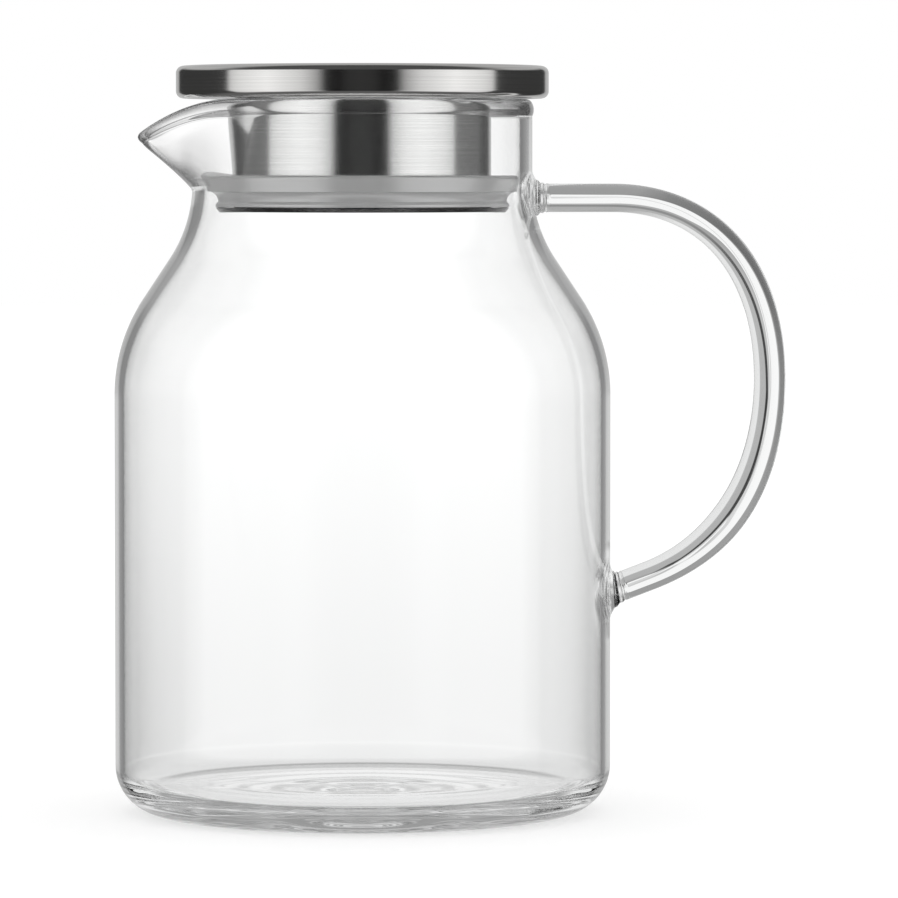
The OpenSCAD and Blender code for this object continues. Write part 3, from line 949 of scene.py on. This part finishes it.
# Where the grey in the panel starts and ends, and how bright it is
ROD_LIGHT_FROM = [(-180, 0.0), (28, 0.0), (40, 0.5), (52, 3.3), (64, 12.5), (76, 14.5), (88, 17.5),
                  (100, 20.0), (112, 24.0), (113, 3.4), (134, 3.4), (146, 0.0), (180, 0.0)]
ROD_LIGHT_TO = [(-180, 1.3), (-164, 0.7), (-140, 0.0), (-90, 0.0), (-70, 60.0), (110, 60.0),
                (112, 0.0), (118, 6.4), (128, 8.2), (140, 8.2), (152, 5.0), (164, 3.3), (180, 1.3)]
ROD_LIGHT = [(-180, 0.61), (-80, 0.5), (-62, 0.5), (-52, 0.65), (-28, 0.7), (0, 0.61), (16, 0.51),
             (28, 0.53), (40, 0.43), (52, 0.38), (88, 0.45), (118, 0.5), (128, 0.65), (152, 0.7),
             (180, 0.61)]
# Where the grey beyond the line ends, how bright it is, and how bright the room is
ROD_GREY_EDGE = [(-180, 50.0), (-84, 50.0), (-76, 21.0), (-50, 20.0), (0, 25.0), (45, 31.0),
                 (75, 36.0), (90, 50.0), (180, 50.0)]
ROD_GREY = [(-180, 0.22), (-164, 0.15), (-140, 0.15), (-125, 0.19), (-112, 0.22), (-100, 0.33),
            (-84, 0.33), (-76, 0.44), (60, 0.46), (90, 0.42), (104, 0.33), (150, 0.34), (180, 0.22)]
ROD_FAR = [(-180, 0.22), (-135, 0.2), (-100, 0.33), (-84, 0.33), (-76, 0.8), (60, 0.81), (75, 0.6),
           (90, 0.4), (104, 0.33), (140, 0.28), (180, 0.22)]

# Light that was reflected inside a wall or the rim, by the angle round it from the far side, and
# the same for level light, which the edge of an upright wall turns
GLASS_AROUND = [(0, 0.3), (8, 0.32), (14, 0.34), (30, 0.3), (46, 0.4), (54, 0.9), (74, 1.0),
                (84, 0.4), (100, 0.2), (136, 0.2), (146, 0.85), (160, 0.95), (170, 0.5), (180, 0.6)]
WALL_AROUND = [(0, 0.8), (8, 0.68), (15, 0.55), (20, 0.46), (26, 0.32), (34, 0.22), (44, 0.3),
               (54, 0.9), (74, 1.0), (84, 0.4), (100, 0.2), (136, 0.2), (146, 0.85), (160, 0.95),
               (170, 0.5), (180, 0.6)]
# Share of level light, and brightness, by height
GLASS_LEVEL = [(-90, 0.0), (-10, 0.0), (-7.5, 1.0), (0, 1.0), (3, 0.0), (90, 0.0)]
GLASS_HEIGHT = [(-90, 0.45), (-35, 0.6), (-12, 1.0), (15, 1.0), (40, 1.3), (90, 0.9)]
# Share of the pale table in what lies below, and its brightness
GLASS_TABLE = [(-90, 1.0), (-22, 1.0), (-10, 0.0), (90, 0.0)]
GLASS_TABLE_LEVEL = 0.93
# Share of the inside room in light that left the lid through the neck
NECK_METAL = [(-90, 0.0), (-80, 0.0), (-65, 1.0), (65, 1.0), (80, 0.0), (90, 0.0)]

# Light that came straight through the walls, by how far up and how far round it points
BODY_HEIGHT = [(-90, 0.9), (-62, 0.85), (-48, 0.45), (-32, 0.4), (-26, 0.85), (-15, 0.88),
               (-8, 0.9), (-5.2, 0.93), (-4.2, 0.97), (-2.5, 1.05), (0, 1.1), (8, 1.0), (14, 0.45),
               (25, 0.25), (60, 0.3), (90, 0.5)]
BODY_AROUND = [(0, 1.0), (3, 1.0), (6, 1.02), (14, 1.05), (24, 1.25), (76, 1.25), (86, 1.0),
               (94, 1.0), (104, 1.25), (166, 1.25), (176, 1.0), (180, 1.0)]
# The same for light that points down through the base, and its share by height
BODY_AROUND_LOW = [(0, 1.0), (3, 1.0), (4.4, 0.99), (6.1, 0.93), (10, 0.84), (16, 0.85), (24, 1.0),
                   (76, 1.25), (86, 1.0), (94, 1.0), (104, 1.25), (166, 1.25), (176, 1.0),
                   (180, 1.0)]
BODY_LOW = [(-90, 1.0), (-5.5, 1.0), (-3.0, 0.0), (90, 0.0)]
# Share of that light in what went through one wall only, as in the open mouth
WALL_LOW = [(-90, 1.0), (-14, 1.0), (-8, 0.0), (90, 0.0)]


def past(n, value, edge, width):
    """0 up to an edge, 1 from a width beyond it."""
    return n.add("ShaderNodeMath", {0: n.math("SUBTRACT", value, edge), 1: width}, operation="DIVIDE",
                 use_clamp=True).outputs[0]


def rod_room(n, azimuth, elevation):
    """Brightness met by light that only went through the solid rod or the edge of a wall. The
    front and the back have the same pattern, and so have the two sides."""
    local = n.math("SUBTRACT", n.math("FLOORED_MODULO", n.math("ADD", azimuth, 90.0), 180.0), 90.0)
    beside = n.math("SUBTRACT", local, n.math("MULTIPLY", n.math("SIGN", local), 90.0))
    is_side = n.math("GREATER_THAN", n.math("ABSOLUTE", local), SIDE_WINDOW)
    off_x = n.math("SUBTRACT", n.blend(is_side, local, beside), ROD_AXIS_AZIMUTH)
    off_y = n.math("SUBTRACT", elevation, ROD_AXIS_ELEVATION)
    bend = n.length(off_x, off_y)
    turn = n.angle(off_y, off_x)
    panel_edge = n.ramp(turn, ROD_PANEL_EDGE, *TURN)
    line_edge = n.math("ADD", panel_edge, n.ramp(turn, ROD_LINE_WIDTH, *TURN))
    grey_edge = n.ramp(turn, ROD_GREY_EDGE, *TURN)
    begun = past(n, n.math("ADD", bend, LIGHT_FADE), n.ramp(turn, ROD_LIGHT_FROM, *TURN), LIGHT_FADE)
    ended = past(n, bend, n.ramp(turn, ROD_LIGHT_TO, *TURN), LIGHT_FADE)
    light = n.math("MULTIPLY", begun, n.math("SUBTRACT", 1.0, ended))
    level = n.blend(light, ROD_WHITE, n.ramp(turn, ROD_LIGHT, *TURN))
    level = n.blend(past(n, bend, panel_edge, PANEL_FADE), level, n.ramp(turn, ROD_LINE, *TURN))
    level = n.blend(past(n, bend, line_edge, LINE_FADE), level, n.ramp(turn, ROD_GREY, *TURN))
    return n.blend(past(n, bend, grey_edge, GREY_FADE), level, n.ramp(turn, ROD_FAR, *TURN))


def glass_room(n, turn, elevation):
    """Brightness met by light that was reflected inside a glass wall or rim."""
    around = n.blend(n.ramp(elevation, GLASS_LEVEL, *HEIGHT), n.ramp(turn, GLASS_AROUND, *AROUND),
                     n.ramp(turn, WALL_AROUND, *AROUND))
    height = n.ramp(elevation, GLASS_HEIGHT, *HEIGHT)
    table = n.ramp(elevation, GLASS_TABLE, *HEIGHT)
    return n.blend(table, n.math("MULTIPLY", around, height), GLASS_TABLE_LEVEL)


def metal_room(n, from_front, elevation):
    """Brightness met by light off steel that stands in the open."""
    walls = n.ramp(from_front, METAL_ROOM, *AROUND)
    ceiling = n.ramp(from_front, METAL_CEILING_LEVEL, *AROUND)
    room = n.blend(n.ramp(elevation, METAL_CEILING, *HEIGHT), walls, ceiling)
    return n.blend(n.ramp(elevation, METAL_BELOW, *HEIGHT), room, METAL_BELOW_LEVEL)


def body_room(n, turn, elevation):
    """Brightness met by light that came straight through the vessel's walls."""
    around = n.blend(n.ramp(elevation, BODY_LOW, *HEIGHT), n.ramp(turn, BODY_AROUND, *AROUND),
                     n.ramp(turn, BODY_AROUND_LOW, *AROUND))
    return n.math("MULTIPLY", n.ramp(elevation, BODY_HEIGHT, *HEIGHT), around)


def bent_light(n, path, azimuth, elevation):
    """Brightness met by light that went through glass with no reflection. After one or two faces
    it came out of the rod, which isn't quite smooth, or out of one wall. After more it has crossed
    the vessel."""
    body = body_room(n, n.math("ABSOLUTE", azimuth), elevation)
    rod = rod_room(n, azimuth, elevation)
    wall = n.blend(n.ramp(elevation, WALL_LOW, *HEIGHT), rod, body)
    near = n.blend(path["Is Singular Ray"], rod, wall)
    crossed = n.math("GREATER_THAN", path["Transmission Depth"], TWO)
    return n.blend(crossed, near, body)


def mirrored_light(n, path, turn, from_front, elevation):
    """Brightness met by light that was reflected and went through glass. Light that crossed one
    wall of the neck twice and was reflected once in between comes off the lid's steel."""
    there_and_back = n.math("COMPARE", path["Transmission Depth"], WALL_AND_BACK, NONE)
    once = n.math("LESS_THAN", path["Glossy Depth"], ONE)
    level_way = n.ramp(elevation, NECK_METAL, *HEIGHT)
    off_steel = n.math("MULTIPLY", n.math("MULTIPLY", there_and_back, once), level_way)
    return n.blend(off_steel, glass_room(n, turn, elevation), n.ramp(from_front, INSIDE_ROOM, *AROUND))


def world():
    """White to the camera and to matt surfaces. Glass and steel meet a studio whose brightness
    hangs on the way that light points and on how it came there."""
    scene = bpy.context.scene
    scene.world = bpy.data.worlds.new("studio")
    scene.world.use_nodes = True
    n = Nodes(scene.world.node_tree)
    path = n.add("ShaderNodeLightPath").outputs
    azimuth, elevation = degrees_off(n, n.add("ShaderNodeTexCoord").outputs["Generated"])
    turn = n.math("ABSOLUTE", azimuth)
    from_front = n.math("SUBTRACT", 180.0, turn)
    via_glass = n.math("GREATER_THAN", path["Transmission Depth"], NONE)
    mirrored = n.math("GREATER_THAN", path["Glossy Depth"], NONE)
    matt = n.math("GREATER_THAN", path["Diffuse Depth"], NONE)
    plain = n.blend(via_glass, WHITE, bent_light(n, path, azimuth, elevation))
    shiny = n.blend(via_glass, metal_room(n, from_front, elevation),
                    mirrored_light(n, path, turn, from_front, elevation))
    seen = n.blend(matt, n.blend(mirrored, plain, shiny), WHITE)
    level = n.blend(path["Is Camera Ray"], seen, WHITE)
    background = n.add("ShaderNodeBackground", {"Color": (1, 1, 1, 1), "Strength": level})
    n.add("ShaderNodeOutputWorld", {"Surface": background.outputs[0]})


def floor_material():
    """White to the camera with the object's soft shadow, clear to light that has been through
    glass or off metal, which shows the studio behind it instead."""
    material, n = new_material("floor_white")
    path = n.add("ShaderNodeLightPath").outputs
    matt = n.add("ShaderNodeBsdfDiffuse", {"Color": FLOOR_COLOR})
    to_camera = n.math("MULTIPLY", path["Is Camera Ray"], FLOOR_LIGHT)
    glow = n.add("ShaderNodeEmission", {"Strength": to_camera})
    whole = n.add("ShaderNodeAddShader", {0: matt.outputs[0], 1: glow.outputs[0]})
    clear = n.add("ShaderNodeBsdfTransparent")
    bent = n.math("MAXIMUM", path["Is Glossy Ray"], path["Is Transmission Ray"])
    out = n.add("ShaderNodeMixShader", {0: bent, 1: whole.outputs[0], 2: clear.outputs[0]})
    n.add("ShaderNodeOutputMaterial", {"Surface": out.outputs[0]})
    return material


def floor():
    """The table, just under the base."""
    mesh = bpy.data.meshes.new("floor")
    side, low = FLOOR_SIDE, -FLOOR_DROP
    mesh.from_pydata([(-side, -side, low), (side, -side, low), (side, side, low), (-side, side, low)],
                     [], [(0, 1, 2, 3)])
    mesh.materials.append(floor_material())
    obj = bpy.data.objects.new("floor", mesh)
    bpy.context.scene.collection.objects.link(obj)


def camera():
    """The photograph's view: a long lens, aimed a little down."""
    data = bpy.data.cameras.new("camera")
    data.lens = LENS
    data.sensor_width = SENSOR
    data.clip_start = CLIP_START
    data.clip_end = CLIP_END
    obj = bpy.data.objects.new("camera", data)
    bpy.context.scene.collection.objects.link(obj)
    obj.location = CAMERA_PLACE
    obj.rotation_euler = (CAMERA_AIM - obj.location).to_track_quat("-Z", "Y").to_euler()
    bpy.context.scene.camera = obj


def settings():
    """Plain view transform, and enough bounces for glass."""
    scene = bpy.context.scene
    scene.view_settings.view_transform = "Standard"
    scene.cycles.max_bounces = ALL_BOUNCES
    scene.cycles.glossy_bounces = GLOSSY_BOUNCES
    scene.cycles.transmission_bounces = GLASS_BOUNCES
    scene.cycles.transparent_max_bounces = CLEAR_BOUNCES


settings()
world()
floor()
camera()
glass_piece()
cap_piece()
underplate_piece()
sleeve_piece()
base_plate_piece()
seal_piece()
